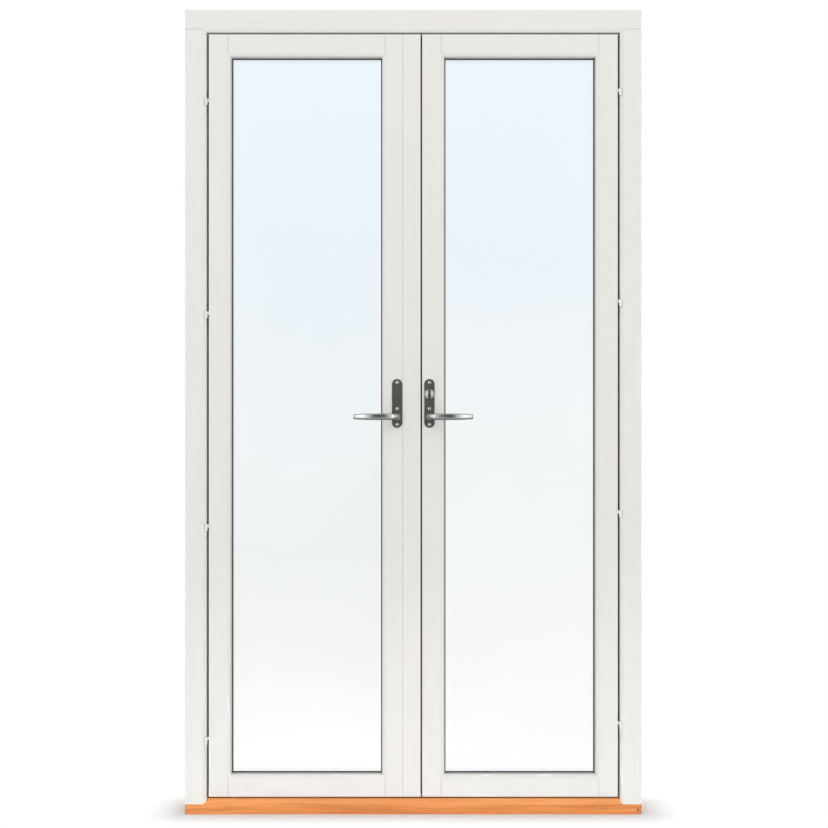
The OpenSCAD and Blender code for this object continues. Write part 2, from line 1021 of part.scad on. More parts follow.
// Path of the lever seen from above: out along the neck, round the elbow, then a slow bow along the blade
elbow_x = elbow_r * (1 - sin(blade_lead));
elbow_out = neck_l + elbow_r * cos(blade_lead);
blade_r = (lever_l - elbow_x) / (sin(blade_lead) - sin(blade_trail));

function elbow_place(a) = [elbow_r * (1 - sin(a)), neck_l + elbow_r * cos(a)];
function blade_place(a) = [
    elbow_x + blade_r * (sin(blade_lead) - sin(a)),
    elbow_out + blade_r * (cos(a) - cos(blade_lead))
];
function mix(from, to, s) = from + (to - from) * s;
// Swell of the section along the blade: full by the middle, then falling to the tip's share
function swell(s, tip) = mix(1, tip, pow(max(0, s - swell_from_share) / (1 - swell_from_share), 2));
// Share of the blade that the rounded tip takes
tip_len_share = blade_t * tip_round_share / lever_l;
// Each ring: place along the lever, place outwards, heading, half height, half thickness, roundness
neck_rings = [[0, 0, 90, neck_d / 2, neck_d / 2, 1]];
elbow_rings = [
    for (i = [0 : elbow_steps - 1])
        let (s = i / elbow_steps, a = mix(90, blade_lead, s), p = elbow_place(a))
        [
            p.x, p.y, a,
            mix(neck_d, blade_h, s) / 2,
            mix(neck_d, blade_t, s) / 2,
            mix(1, blade_square_share, s)
        ]
];
blade_rings = [
    for (i = [0 : blade_steps - 1])
        let (
            s = i / blade_steps,
            a = mix(blade_lead, blade_trail, s * (1 - tip_len_share)),
            p = blade_place(a)
        )
        [
            p.x, p.y, a,
            blade_h / 2 * swell(s, tip_h_share),
            blade_t / 2 * swell(s, tip_t_share),
            blade_square_share
        ]
];
tip_rings = [
    for (i = [0 : tip_steps])
        let (
            s = i / tip_steps,
            a = mix(mix(blade_lead, blade_trail, 1 - tip_len_share), blade_trail, sin(90 * s)),
            p = blade_place(a),
            k = mix(1, tip_round_share, 1 - cos(90 * s))
        )
        [
            p.x, p.y, a,
            blade_h / 2 * tip_h_share * k,
            blade_t / 2 * tip_t_share * k,
            blade_square_share
        ]
];
lever_rings = concat(neck_rings, elbow_rings, blade_rings, tip_rings);

// A power of 1 keeps a ring round; a smaller one flattens its face and squares its corners
function squared(share, power) = sign(share) * pow(abs(share), power);
function ring_points(ring) = [
    for (i = [0 : ring_sides - 1])
        let (
            t = i * ring_turn,
            across = ring[4] * squared(cos(t), ring[5]),
            rise = ring[3] * squared(sin(t), ring[5])
        )
        [ring[0] - across * sin(ring[2]), -(ring[1] + across * cos(ring[2])), rise]
];

// Lofted lever with a square socket for the spindle
module lever() {
    last = len(lever_rings) - 1;
    points = [for (ring = lever_rings) each ring_points(ring)];
    sides = [
        for (k = [0 : last - 1], i = [0 : ring_sides - 1])
            let (a = k * ring_sides, j = (i + 1) % ring_sides)
            [a + i, a + j, a + ring_sides + j, a + ring_sides + i]
    ];
    base = [for (i = [ring_sides - 1 : -1 : 0]) i];
    tip = [for (i = [0 : ring_sides - 1]) last * ring_sides + i];
    color(steel) translate([lever_x, lever_y, lever_z]) difference() {
        polyhedron(points, concat([base], sides, [tip]));
        box([-spindle_w / 2, -spindle_socket, -spindle_w / 2], [spindle_w / 2, overrun, spindle_w / 2]);
    }
}

module spindle() {
    color(steel) box(
        [lever_x - spindle_w / 2, lever_y - spindle_socket, lever_z - spindle_w / 2],
        [lever_x + spindle_w / 2, lock_y + case_t / 2, lever_z + spindle_w / 2]
    );
}

// Domed base with a finger bar, wider at its lower end, and a stem into the lock
module thumb_turn() {
    r = turn_d / 2;
    dome_r = (r * r + turn_dome_h * turn_dome_h) / (2 * turn_dome_h);
    grip_r = r - turn_grip_in;
    top_w = turn_grip_w * turn_grip_top_share;
    color(steel) translate([lever_x, plate_y - run_clear, lever_z + turn_rise]) rotate([90, 0, 0]) {
        cylinder(r = r, h = turn_base_h);
        intersection() {
            cylinder(r = r, h = turn_base_h + turn_dome_h);
            translate([0, 0, turn_base_h + turn_dome_h - dome_r]) sphere(dome_r);
        }
        intersection() {
            cylinder(r1 = r, r2 = grip_r, h = turn_grip_h);
            linear_extrude(turn_grip_h) polygon([
                [-turn_grip_w / 2, -r],
                [turn_grip_w / 2, -r],
                [top_w / 2, r],
                [-top_w / 2, r]
            ]);
        }
        translate([0, 0, -plate_t - leaf_t / 2 + case_t / 4])
            cylinder(d = turn_stem_d, h = plate_t + leaf_t / 2);
    }
}

module passive_handle_plate() {
    passive_side() handle_plate(false);
}

module active_handle_plate() {
    handle_plate(true);
}

module passive_plate_screws() {
    passive_side() plate_screws();
}

module active_plate_screws() {
    plate_screws();
}

module passive_lever_ring() {
    passive_side() lever_ring();
}

module active_lever_ring() {
    lever_ring();
}

module passive_lever() {
    passive_side() lever();
}

module active_lever() {
    lever();
}

module passive_spindle() {
    passive_side() spindle();
}

module active_spindle() {
    spindle();
}

// Locks

module lock_case() {
    color(steel) difference() {
        case_body(0);
        translate([lever_x, lock_y - case_t, lever_z]) rod_y(spindle_r, 2 * case_t);
        translate([lever_x, lock_y - case_t, lever_z + turn_rise])
            rod_y(turn_stem_d / 2 + bore_clear, 2 * case_t);
        bolt_channel(leaf_x0 - overrun);
    }
}

// Room for the lock bolt from x inwards
module bolt_channel(x) {
    box(
        [x, lock_y - bolt_t / 2 - run_clear, bolt_z - bolt_h / 2 - run_clear],
        [leaf_x0 + bolt_l + run_clear, lock_y + bolt_t / 2 + run_clear, bolt_z + bolt_h / 2 + run_clear]
    );
}

module lock_forend() {
    color(steel) difference() {
        forend_body(0);
        bolt_channel(leaf_x0 - overrun);
    }
}

module lock_bolt() {
    color(steel) box(
        [leaf_x0, lock_y - bolt_t / 2, bolt_z - bolt_h / 2],
        [leaf_x0 + bolt_l, lock_y + bolt_t / 2, bolt_z + bolt_h / 2]
    );
}

module passive_gearbox() {
    x0 = leaf_x0 + groove_d;
    color(steel) passive_side() difference() {
        box(
            [x0, lock_y - case_t / 2, lever_z - gearbox_half_h],
            [x0 + gearbox_w, lock_y + case_t / 2, lever_z + gearbox_half_h]
        );
        translate([lever_x, lock_y - case_t, lever_z]) rod_y(spindle_r, 2 * case_t);
    }
}

// Flat rod in the groove of the passive leaf that ends in a round bolt
module shoot_bolt(root, tip) {
    shoulder = tip > root ? tip - shoot_tip : tip + shoot_tip;
    color(steel) passive_side() {
        box(
            [rod_x - rod_t / 2, lock_y - rod_w / 2, min(root, shoulder)],
            [rod_x + rod_t / 2, lock_y + rod_w / 2, max(root, shoulder)]
        );
        translate([rod_x, lock_y, min(shoulder, tip)]) cylinder(d = shoot_d, h = shoot_tip);
    }
}

module shoot_bolt_top() {
    shoot_bolt(lever_z + rod_start, leaf_z1 - shoot_sink);
}

module shoot_bolt_bottom() {
    shoot_bolt(lever_z - rod_start, leaf_z0 + shoot_sink);
}

frame_head();
frame_jamb_left();
frame_jamb_right();
sill();
seal_head();
seal_left();
seal_right();
seal_sill();
hinge_wings_frame_left();
hinge_wings_frame_right();
hinge_pins_left();
hinge_pins_right();
keep_head();
keep_sill();
passive_hinge_stile();
passive_meeting_stile();
passive_top_rail();
passive_bottom_rail();
passive_pane_inner();
passive_pane_outer();
passive_spacer();
passive_sealant();
passive_gasket_inner();
passive_gasket_outer();
passive_beads();
passive_setting_blocks();
passive_hinge_wings();
mullion();
mullion_seal();
strike_plate();
passive_handle_plate();
passive_plate_screws();
passive_lever_ring();
passive_lever();
passive_spindle();
passive_gearbox();
shoot_bolt_top();
shoot_bolt_bottom();
active_hinge_stile();
active_meeting_stile();
active_top_rail();
active_bottom_rail();
active_pane_inner();
active_pane_outer();
active_spacer();
active_sealant();
active_gasket_inner();
active_gasket_outer();
active_beads();
active_setting_blocks();
active_hinge_wings();
active_handle_plate();
active_plate_screws();
active_lever_ring();
active_lever();
active_spindle();
thumb_turn();
lock_case();
lock_forend();
lock_bolt();
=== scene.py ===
# %% [markdown]
# # Dressing a pair of french doors
# The doors were drawn as solids first: a frame, two glazed leaves, their hinges, handles and locks.
# This lesson loads those solids and gives them the finishes of the real thing: satin white paint, an
# oiled hardwood sill, clear glass, black rubber, polished steel and dark lacquered handle plates.
# Everything is in metres. +Z is up, the room is at -Y, and the origin is under the middle of the sill.

# %% Load the solids
import json
import math

import bmesh
import bpy
from mathutils import Matrix, Vector


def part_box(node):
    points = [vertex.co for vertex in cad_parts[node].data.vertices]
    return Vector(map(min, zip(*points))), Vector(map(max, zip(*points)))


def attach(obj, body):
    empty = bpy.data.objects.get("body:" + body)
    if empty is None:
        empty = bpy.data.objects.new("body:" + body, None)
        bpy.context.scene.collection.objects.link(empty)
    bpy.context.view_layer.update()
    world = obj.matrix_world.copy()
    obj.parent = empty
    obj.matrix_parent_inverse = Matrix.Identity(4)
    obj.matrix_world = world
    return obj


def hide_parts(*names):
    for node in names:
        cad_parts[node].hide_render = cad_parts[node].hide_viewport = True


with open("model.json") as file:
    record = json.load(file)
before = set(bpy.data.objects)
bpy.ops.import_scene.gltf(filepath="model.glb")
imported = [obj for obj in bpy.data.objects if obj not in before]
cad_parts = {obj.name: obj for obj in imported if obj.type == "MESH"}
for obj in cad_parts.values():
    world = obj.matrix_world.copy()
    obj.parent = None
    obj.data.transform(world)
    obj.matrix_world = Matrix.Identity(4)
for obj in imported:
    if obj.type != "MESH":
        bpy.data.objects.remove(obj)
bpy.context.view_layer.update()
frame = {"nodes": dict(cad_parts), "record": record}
nodes = frame["nodes"]

# %% [markdown]
# ## A few words for building materials
# A procedural material is a small network of nodes. It could be drawn by hand in the Shader Editor, but a
# script can be read, repeated and corrected. Written out in full, each node takes four lines, so we first
# make short helpers. One adds a node, and one links a socket or sets it to a plain value. The others make
# the steps that come back all the time: a sum, a blend of two colours, a noise, or a span, which maps one
# range of values smoothly onto another.


# %% Helpers for nodes and links
def feed(tree, value, socket):
    if isinstance(value, bpy.types.NodeSocket):
        tree.links.new(value, socket)
    else:
        socket.default_value = value


def add_node(tree, kind, inputs=None, **settings):
    node = tree.nodes.new(kind)
    for name, value in settings.items():
        setattr(node, name, value)
    for name, value in (inputs or {}).items():
        feed(tree, value, node.inputs[name])
    return node


def new_material(name):
    material = bpy.data.materials.new(name)
    material.use_nodes = True
    tree = material.node_tree
    shader = tree.nodes["Principled BSDF"]
    place = add_node(tree, "ShaderNodeTexCoord").outputs["Object"]
    return material, tree, shader, place


print("helpers for nodes ready")

# %% Helpers for sums, blends and noises
# A Mix node has a set of sockets for each kind of data. These are the numbers of its colour sockets.
mix_factor, mix_a, mix_b, mix_result = 0, 6, 7, 2


def calc(tree, operation, a, b=0.0, clamp=False):
    node = add_node(tree, "ShaderNodeMath", {0: a, 1: b}, operation=operation, use_clamp=clamp)
    return node.outputs[0]


def blend_colours(tree, factor, a, b):
    inputs = {mix_factor: factor, mix_a: a, mix_b: b}
    return add_node(tree, "ShaderNodeMix", inputs, data_type="RGBA").outputs[mix_result]


def span(tree, value, low, high, to_low=0.0, to_high=1.0):
    inputs = {"Value": value, "From Min": low, "From Max": high, "To Min": to_low, "To Max": to_high}
    node = add_node(tree, "ShaderNodeMapRange", inputs, interpolation_type="SMOOTHSTEP")
    return node.outputs["Result"]


def noise(tree, place, scale, detail=2.0, roughness=0.5, distortion=0.0):
    shape = {"Detail": detail, "Roughness": roughness, "Distortion": distortion}
    inputs = {"Vector": place, "Scale": scale, **shape}
    return add_node(tree, "ShaderNodeTexNoise", inputs).outputs[0]


print("helpers for sums, blends and noises ready")

# %% [markdown]
# ## Slow drift of tone
# No real surface has one even colour. Paint dries a little warmer here and cooler there, rubber greys,
# plating clouds. Each material could have a noise of its own for that, but the same nodes would then be
# built ten times. One shared node group gives the drift: a broad noise that swings a factor about the
# middle. Each material places the group with its own scale and its own amount.


# %% Helpers for node groups
def new_group(name, inputs, outputs):
    group = bpy.data.node_groups.new(name, "ShaderNodeTree")
    for label, kind, value in inputs:
        socket = group.interface.new_socket(label, in_out="INPUT", socket_type=kind)
        if value is not None:
            socket.default_value = value
    for label, kind in outputs:
        group.interface.new_socket(label, in_out="OUTPUT", socket_type=kind)
    start = group.nodes.new("NodeGroupInput").outputs
    end = group.nodes.new("NodeGroupOutput").inputs
    return group, start, end


def place_group(tree, group, inputs):
    return add_node(tree, "ShaderNodeGroup", inputs, node_tree=group).outputs


print("helpers for groups ready")

# %% Tone drift group
tone_drift, start, end = new_group(
    "Tone drift",
    [
        ("Place", "NodeSocketVector", None),
        ("Scale", "NodeSocketFloat", 4.0),
        ("Amount", "NodeSocketFloat", 0.5),
    ],
    [("Factor", "NodeSocketFloat")],
)
middle = 0.5
broad = noise(tone_drift, start["Place"], start["Scale"], detail=3.0, roughness=0.55)
swing = calc(tone_drift, "SUBTRACT", span(tone_drift, broad, 0.25, 0.75), middle)
swing = calc(tone_drift, "MULTIPLY", swing, start["Amount"])
feed(tone_drift, calc(tone_drift, "ADD", swing, middle, clamp=True), end["Factor"])
print("group:", tone_drift.name)

# %% [markdown]
# ## Marks that run along a piece
# Painted timber keeps a trace of the grain and of the last stroke, and metal keeps fine lines from its
# polishing. Both could be cut into the mesh, but they are finer than a hair, so a noise is enough: it is
# squeezed across the piece and drawn out along it. The group takes the squeeze as a vector, so that a
# stile gets marks along Z and a rail gets marks along X.


# %% Drawn marks group
def stretched(tree, place, scale):
    return add_node(tree, "ShaderNodeMapping", {"Vector": place, "Scale": scale}).outputs[0]


drawn_marks, start, end = new_group(
    "Drawn marks",
    [
        ("Place", "NodeSocketVector", None),
        ("Squeeze", "NodeSocketVector", (1.0, 1.0, 1.0)),
        ("Scale", "NodeSocketFloat", 100.0),
        ("Speckle", "NodeSocketFloat", 500.0),
    ],
    [("Height", "NodeSocketFloat"), ("Mask", "NodeSocketFloat")],
)
speckle_share = 0.6
drawn = stretched(drawn_marks, start["Place"], start["Squeeze"])
lines = noise(drawn_marks, drawn, start["Scale"], detail=4.0, roughness=0.6)
speckle = noise(drawn_marks, start["Place"], start["Speckle"])
height = calc(drawn_marks, "ADD", lines, calc(drawn_marks, "MULTIPLY", speckle, speckle_share))
feed(drawn_marks, height, end["Height"])
feed(drawn_marks, span(drawn_marks, lines, 0.35, 0.65), end["Mask"])
print("group:", drawn_marks.name)

# %% [markdown]
# ## Satin white paint
# The frame and the leaves are sprayed with a satin white that leans towards cream. One flat colour would
# look like plastic. Seen close, the film has a very fine orange-peel texture and shows a hint of the grain
# below, so Base Color drifts between a warm and a cool white, roughness follows the marks, and a Bump node
# lifts the surface by a few hundredths of a millimetre. Two versions are made, one with marks along Z and
# one with marks along X, because the grain of a stile runs up and the grain of a rail runs across.

# %% Paint for uprights and for level pieces
warm_white = (0.80, 0.775, 0.735, 1)
cool_white = (0.775, 0.785, 0.745, 1)
grain_white = (0.83, 0.82, 0.785, 1)
grain_share = 0.35
film_depth = 0.00005
along_z = (1.0, 1.0, 0.03)
along_x = (0.03, 1.0, 1.0)


def bump(tree, height, depth):
    inputs = {"Height": height, "Distance": depth, "Strength": 1.0}
    return add_node(tree, "ShaderNodeBump", inputs).outputs[0]


def satin_paint(name, squeeze):
    material, tree, shader, place = new_material(name)
    drift = place_group(tree, tone_drift, {"Place": place, "Scale": 3.5, "Amount": 0.9})["Factor"]
    strokes = {"Place": place, "Squeeze": squeeze, "Scale": 160.0, "Speckle": 900.0}
    marks = place_group(tree, drawn_marks, strokes)
    warm_to_cool = blend_colours(tree, drift, warm_white, cool_white)
    grain = calc(tree, "MULTIPLY", marks["Mask"], grain_share)
    feed(tree, blend_colours(tree, grain, warm_to_cool, grain_white), shader.inputs["Base Color"])
    feed(tree, span(tree, marks["Height"], 0.4, 1.2, 0.30, 0.42), shader.inputs["Roughness"])
    feed(tree, bump(tree, marks["Height"], film_depth), shader.inputs["Normal"])
    shader.inputs["IOR"].default_value = 1.47
    shader.inputs["Coat Weight"].default_value = 0.15
    shader.inputs["Coat Roughness"].default_value = 0.25
    return material


paint_upright = satin_paint("satin_paint_upright", along_z)
paint_level = satin_paint("satin_paint_level", along_x)
print("paint:", paint_upright.name, paint_level.name)

# %% [markdown]
# ## Grain of the oiled sill
# The sill is left as wood and oiled, so it glows orange-brown beside the white. A picture of a board could
# be wrapped round it, but it would show a seam at every edge. Noises in the space of the sill run through
# its faces as growth runs through real timber. Three of them make it read as wood: broad streaks along
# the board, thin dark lines of denser growth, and short pores. All are drawn out along X.

# %% Streaks, growth lines and pores
oiled_wood, tree, shader, place = new_material("oiled_hardwood")
wander_reach = 0.02
wander = noise(tree, stretched(tree, place, (1.5, 6.0, 6.0)), 2.0)
sway = calc(tree, "MULTIPLY", wander, wander_reach)
sway = add_node(tree, "ShaderNodeCombineXYZ", {"Z": sway}).outputs[0]
board = add_node(tree, "ShaderNodeVectorMath", {0: place, 1: sway}, operation="ADD").outputs[0]
streak_place = stretched(tree, board, (1.6, 60.0, 60.0))
streaks = noise(tree, streak_place, 1.6, detail=5.0, roughness=0.55, distortion=0.4)
growth_place = stretched(tree, board, (1.0, 150.0, 190.0))
growth = noise(tree, growth_place, 1.4, detail=3.0, roughness=0.6)
pores = noise(tree, stretched(tree, board, (30.0, 900.0, 900.0)), 1.0, detail=1.0)
print("grain of:", oiled_wood.name)

# %% Colours of the grain
streak_colours = (
    (0.30, (0.55, 0.155, 0.028)),
    (0.50, (0.735, 0.245, 0.048)),
    (0.70, (0.85, 0.35, 0.092)),
)
growth_brown = (0.40, 0.105, 0.026, 1)
pore_brown = (0.30, 0.08, 0.02, 1)


def colour_ramp(tree, value, stops):
    node = add_node(tree, "ShaderNodeValToRGB", {"Fac": value})
    elements = node.color_ramp.elements
    while len(elements) < len(stops):
        elements.new(0.5)
    for element, (position, colour) in zip(elements, stops):
        element.position = position
        element.color = (*colour, 1)
    return node.outputs[0]


streaked = colour_ramp(tree, streaks, streak_colours)
dark_lines = calc(tree, "MULTIPLY", span(tree, growth, 0.56, 0.70), 0.55)
lined = blend_colours(tree, dark_lines, streaked, growth_brown)
pits = calc(tree, "MULTIPLY", span(tree, pores, 0.62, 0.74), 0.5)
pored = blend_colours(tree, pits, lined, pore_brown)
print("colours of the streaks:", len(streak_colours))

# %% [markdown]
# ## Knot, darker ends and painted light on the slope of the sill
# A small dark knot sits near the right end of the front edge. The last few millimetres at each end are
# darker, and the slope on top is painted lighter, a painted light for the light that falls on it from
# above. A noise would put these anywhere. They have a place, so their masks come from the coordinates of the
# sill: the knot falls off with the distance from one point, the ends start at a distance from the middle,
# the slope at a height.

# %% Knot, ends and slope
knot_place = (0.581, -0.0525, 0.0107)
knot_brown = (0.13, 0.035, 0.012, 1)
end_brown = (0.26, 0.075, 0.02, 1)
lit_slope_orange = (0.97, 0.47, 0.20, 1)
away = add_node(tree, "ShaderNodeVectorMath", {0: place, 1: knot_place}, operation="DISTANCE")
knot = span(tree, away.outputs["Value"], 0.0012, 0.0048, 0.85, 0.0)
knotted = blend_colours(tree, knot, pored, knot_brown)
axes = add_node(tree, "ShaderNodeSeparateXYZ", {"Vector": place}).outputs
# The last few millimetres at each end and the end faces are darker.
darker_ends = span(tree, calc(tree, "ABSOLUTE", axes["X"]), 0.5870, 0.5895, 0.0, 0.55)
ended = blend_colours(tree, darker_ends, knotted, end_brown)
# Painted light: the slope on top is painted lighter, for the light that falls on it from above.
painted_slope_light = span(tree, axes["Z"], 0.0245, 0.0265, 0.0, 0.26)
feed(tree, blend_colours(tree, painted_slope_light, ended, lit_slope_orange), shader.inputs["Base Color"])
print("knot at:", knot_place)

# %% Relief of the wood
grain_depth = 0.00025
feed(tree, span(tree, growth, 0.3, 0.7, 0.38, 0.52), shader.inputs["Roughness"])
pits = calc(tree, "MULTIPLY", span(tree, pores, 0.6, 0.75), 0.6)
relief = calc(tree, "SUBTRACT", streaks, pits)
feed(tree, bump(tree, relief, grain_depth), shader.inputs["Normal"])
shader.inputs["IOR"].default_value = 1.46
print("wood:", oiled_wood.name, "relief in mm:", grain_depth * 1000)

# %% [markdown]
# ## Clear glass
# Each leaf holds a sealed unit of two panes. Glass is a Principled shader with full transmission, and its
# Metallic and Transmission Weight stay plain numbers. Float glass is never quite colourless: the panes
# mirror a little sky towards the top and none near the sill. A picture of a sky could be hung in front of
# the doors, but it would tint the paint too, so Base Color itself runs from a pale blue to almost clear by
# height, with a slow cloud in it. The right leaf catches less of it in its lower half.

# %% Sky in the glass
glass, tree, shader, place = new_material("float_glass")
ramp_height = 2.0
sky_tints = (
    (0.16, (0.998, 0.998, 0.998)),
    (0.42, (0.945, 0.957, 0.945)),
    (0.68, (0.925, 0.941, 0.936)),
    (0.93, (0.948, 0.967, 0.974)),
    (1.46, (0.927, 0.965, 0.990)),
    (1.88, (0.933, 0.976, 1.000)),
)
cloud_reach = 0.35
axes = add_node(tree, "ShaderNodeSeparateXYZ", {"Vector": place}).outputs
cloud = noise(tree, stretched(tree, place, (1.6, 1.0, 0.9)), 1.8)
cloud = calc(tree, "MULTIPLY", calc(tree, "SUBTRACT", cloud, middle), cloud_reach)
level = calc(tree, "MULTIPLY", calc(tree, "ADD", axes["Z"], cloud), 1.0 / ramp_height)
sky = colour_ramp(tree, level, [(z / ramp_height, tint) for z, tint in sky_tints])
print("tints of the sky:", len(sky_tints))

# %% Glass of the panes
clear_tint = (0.985, 0.998, 1.0, 1)
right_leaf = span(tree, axes["X"], -0.02, 0.02, 0.0, 0.42)
lower_half = span(tree, axes["Z"], 1.0, 1.5, 1.0, 0.0)
clearer = calc(tree, "MULTIPLY", right_leaf, lower_half)
feed(tree, blend_colours(tree, clearer, sky, clear_tint), shader.inputs["Base Color"])
shader.inputs["Transmission Weight"].default_value = 1.0
shader.inputs["Metallic"].default_value = 0.0
shader.inputs["Roughness"].default_value = 0.0
shader.inputs["IOR"].default_value = 1.5
print("glass:", glass.name)

# %% [markdown]
# ## Rubber
# The seals and the glazing gaskets are nearly black. Pure black would be a hole in the picture, because
# real rubber greys with age and scatters light from a fine grain. So the colour drifts to a slightly lighter
# grey, and the same grain makes the roughness and the bump.

# %% Rubber of seals and gaskets
rubber_grain = 2200.0
rubber_depth = 0.00008
greying = 1.4


def rubber(name, shade):
    material, tree, shader, place = new_material(name)
    drift = place_group(tree, tone_drift, {"Place": place, "Scale": 9.0, "Amount": 0.7})["Factor"]
    grey = tuple(v * greying for v in shade)
    feed(tree, blend_colours(tree, drift, (*shade, 1), (*grey, 1)), shader.inputs["Base Color"])
    grain = noise(tree, place, rubber_grain)
    feed(tree, span(tree, grain, 0.3, 0.7, 0.55, 0.75), shader.inputs["Roughness"])
    feed(tree, bump(tree, grain, rubber_depth), shader.inputs["Normal"])
    return material


seal_rubber = rubber("seal_rubber", (0.012, 0.012, 0.012))
glazing_rubber = rubber("glazing_rubber", (0.030, 0.034, 0.036))
print("rubber:", seal_rubber.name, glazing_rubber.name)

# %% [markdown]
# ## Lacquer and metals
# The small fittings are where the eye stops, so each gets its own finish. All of them are one recipe with
# other values: two tones that drift, and drawn marks in the roughness and the bump. The levers and the
# thumb-turn are polished, so their colour is almost only what they mirror; fine lines keep them from
# looking like liquid. The plates are dark lacquered metal with a faint speckle. Zinc plating on the hinges
# and the lock parts is cloudy, and the spacer bar between the panes is plain rolled aluminium.


# %% Recipe for metal
def metal(name, light, dark, rough, squeeze, lines, drift_scale, depth=0.00002, metallic=1.0):
    material, tree, shader, place = new_material(name)
    clouds = {"Place": place, "Scale": drift_scale, "Amount": 1.0}
    drift = place_group(tree, tone_drift, clouds)["Factor"]
    polish = {"Place": place, "Squeeze": squeeze, "Scale": lines, "Speckle": 2500.0}
    marks = place_group(tree, drawn_marks, polish)
    feed(tree, blend_colours(tree, drift, (*light, 1), (*dark, 1)), shader.inputs["Base Color"])
    feed(tree, span(tree, marks["Height"], 0.4, 1.2, *rough), shader.inputs["Roughness"])
    feed(tree, bump(tree, marks["Height"], depth), shader.inputs["Normal"])
    shader.inputs["Metallic"].default_value = metallic
    return material


print("recipe for metal ready")

# %% Metals of the handles
buffing = {
    "rough": (0.15, 0.21),
    "squeeze": (0.05, 1.0, 1.0),
    "lines": 900.0,
    "drift_scale": 30.0,
    "depth": 0.000003,
}
polished_steel = metal("polished_steel", (0.49, 0.495, 0.49), (0.42, 0.425, 0.42), **buffing)
lever_steel = metal("lever_steel", (0.60, 0.605, 0.60), (0.53, 0.535, 0.53), **buffing)
gunmetal = metal(
    "lacquered_gunmetal",
    light=(0.090, 0.084, 0.077),
    dark=(0.070, 0.066, 0.062),
    rough=(0.38, 0.52),
    squeeze=(1.0, 1.0, 0.05),
    lines=700.0,
    drift_scale=18.0,
    depth=0.00003,
    metallic=0.35,
)
screw_steel = metal(
    "screw_steel",
    light=(0.70, 0.70, 0.69),
    dark=(0.60, 0.60, 0.59),
    rough=(0.10, 0.16),
    squeeze=(1.0, 1.0, 1.0),
    lines=1500.0,
    drift_scale=60.0,
)
print("handles:", polished_steel.name, lever_steel.name, gunmetal.name, screw_steel.name)

# %% Metals of the hinges, the locks and the spacer
hinge_steel = metal(
    "zinc_hinge_steel",
    light=(0.90, 0.895, 0.875),
    dark=(0.80, 0.80, 0.785),
    rough=(0.28, 0.42),
    squeeze=(1.0, 1.0, 0.2),
    lines=500.0,
    drift_scale=90.0,
    metallic=0.55,
)
lock_steel = metal(
    "zinc_lock_steel",
    light=(0.62, 0.61, 0.57),
    dark=(0.50, 0.50, 0.48),
    rough=(0.32, 0.48),
    squeeze=(1.0, 1.0, 0.1),
    lines=450.0,
    drift_scale=70.0,
)
spacer_metal = metal(
    "rolled_aluminium",
    light=(0.66, 0.66, 0.66),
    dark=(0.58, 0.585, 0.59),
    rough=(0.35, 0.5),
    squeeze=(1.0, 1.0, 0.05),
    lines=400.0,
    drift_scale=40.0,
)
print("fittings:", hinge_steel.name, lock_steel.name, spacer_metal.name)

# %% [markdown]
# ## Painted shade on the sides of the levers
# The levers get a polish of their own, and a painted shade: their upper and their lower side are painted
# darker, in place of the darker reflections that these sides show. A mask by height can't tell these sides
# on a curved lever. How far each point of a lever faces up at rest is therefore stored on the lever itself,
# as an attribute named "rise", and turns with it. The material reads it: the old colour is taken from its
# link and blended towards a dark steel, which is the painted shade.

# %% Painted shade on the levers
painted_shade_steel = (0.10, 0.102, 0.104, 1)
tree = lever_steel.node_tree
base_colour = tree.nodes["Principled BSDF"].inputs["Base Color"]
rise = add_node(tree, "ShaderNodeAttribute", attribute_name="rise").outputs["Fac"]
# Painted shade: the upper and the lower side of each lever are blended towards a dark steel.
painted_underside_shade = span(tree, rise, -0.26, 0.0, 0.90, 0.0)
painted_top_shade = span(tree, rise, 0.22, 0.70, 0.0, 0.60)
buffed = base_colour.links[0].from_socket
painted_shade_colour = blend_colours(tree, calc(tree, "ADD", painted_underside_shade, painted_top_shade), buffed, painted_shade_steel)
feed(tree, painted_shade_colour, base_colour)
print("lever polish:", lever_steel.name)

# %% [markdown]
# ## Giving the solids their finishes
# The record that came with the solids names a finish slot for every node. Each node could be given its
# material by hand, but a table of slots is shorter and misses none. White paint needs one more choice: the
# rails and the head get the marks along X, the rest get them along Z.

# %% Materials on the nodes
finish_of_slot = {
    "oiled_wood": oiled_wood,
    "glass": glass,
    "seal_rubber": seal_rubber,
    "glazing_rubber": glazing_rubber,
    "spacer": spacer_metal,
    "polished_steel": polished_steel,
    "gunmetal": gunmetal,
    "screw_steel": screw_steel,
    "hinge_steel": hinge_steel,
    "lock_steel": lock_steel,
}
slot_of_node = {part["node"]: part["material_slot"] for part in frame["record"]["subparts"]}
for name, node in nodes.items():
    level_piece = name == "frame_head" or name.endswith("_rail")
    paint = paint_level if level_piece else paint_upright
    node.material_slots[0].material = finish_of_slot.get(slot_of_node[name], paint)
print("finished nodes:", len(nodes))

# %% [markdown]
# ## Eased edges
# A joiner never leaves a painted edge sharp: paint creeps away from a knife edge. The solids have sharp
# arrises. Their meshes stay as they are, so modifiers do the easing: a Weld joins the loose triangles, a
# Decimate dissolves them into whole flat faces, and a small Bevel rounds the edges that turn more than 50
# degrees. A Weighted Normal keeps the large faces evenly shaded. Where two pieces meet, the two bevels make
# the fine line that shows a real joint.

# %% Weld and bevel
weld_reach = 0.00001
flat_turn = math.radians(0.5)
eased_width = 0.0007
sharp_turn = math.radians(50.0)


